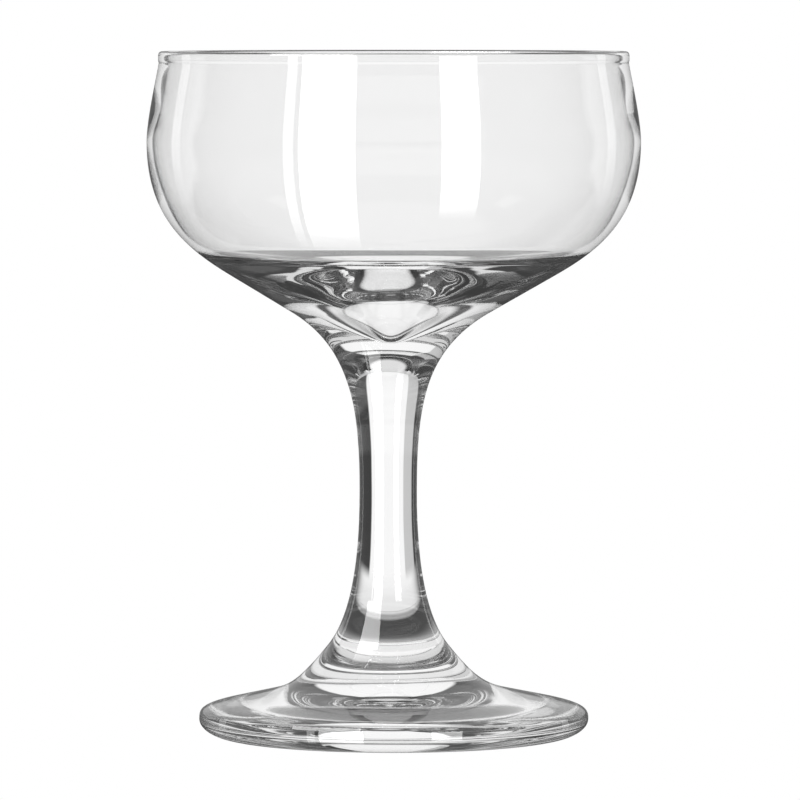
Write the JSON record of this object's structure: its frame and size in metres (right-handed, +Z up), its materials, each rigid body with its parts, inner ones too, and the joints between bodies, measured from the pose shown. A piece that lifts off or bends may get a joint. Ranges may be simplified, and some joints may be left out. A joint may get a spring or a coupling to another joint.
{
  "type": "coupe glass",
  "caption": "Clear stemmed coupe glass with a wide shallow bowl, a rim bead, a thick cone base, a solid waisted stem and a round pressed foot that stands on a flat ring.",
  "frame": {"origin": "centre of the flat ring under the foot, on the surface that the glass stands on", "axes": "+Z up along the glass's own axis, from the foot to the rim; the glass is round, so +X and +Y are free"},
  "size_m": [0.0868, 0.0868, 0.1207],
  "materials": {
    "blown_glass": "clear fire-polished soda-lime glass, blown, with a faint waviness",
    "pressed_glass": "clear fire-polished soda-lime glass, pressed solid, with faint rings from the mould and the hot joint"
  },
  "bodies": {
    "root": {"bowl": "blown_glass", "stem": "pressed_glass", "foot": "pressed_glass"}
  },
  "joints": []
}
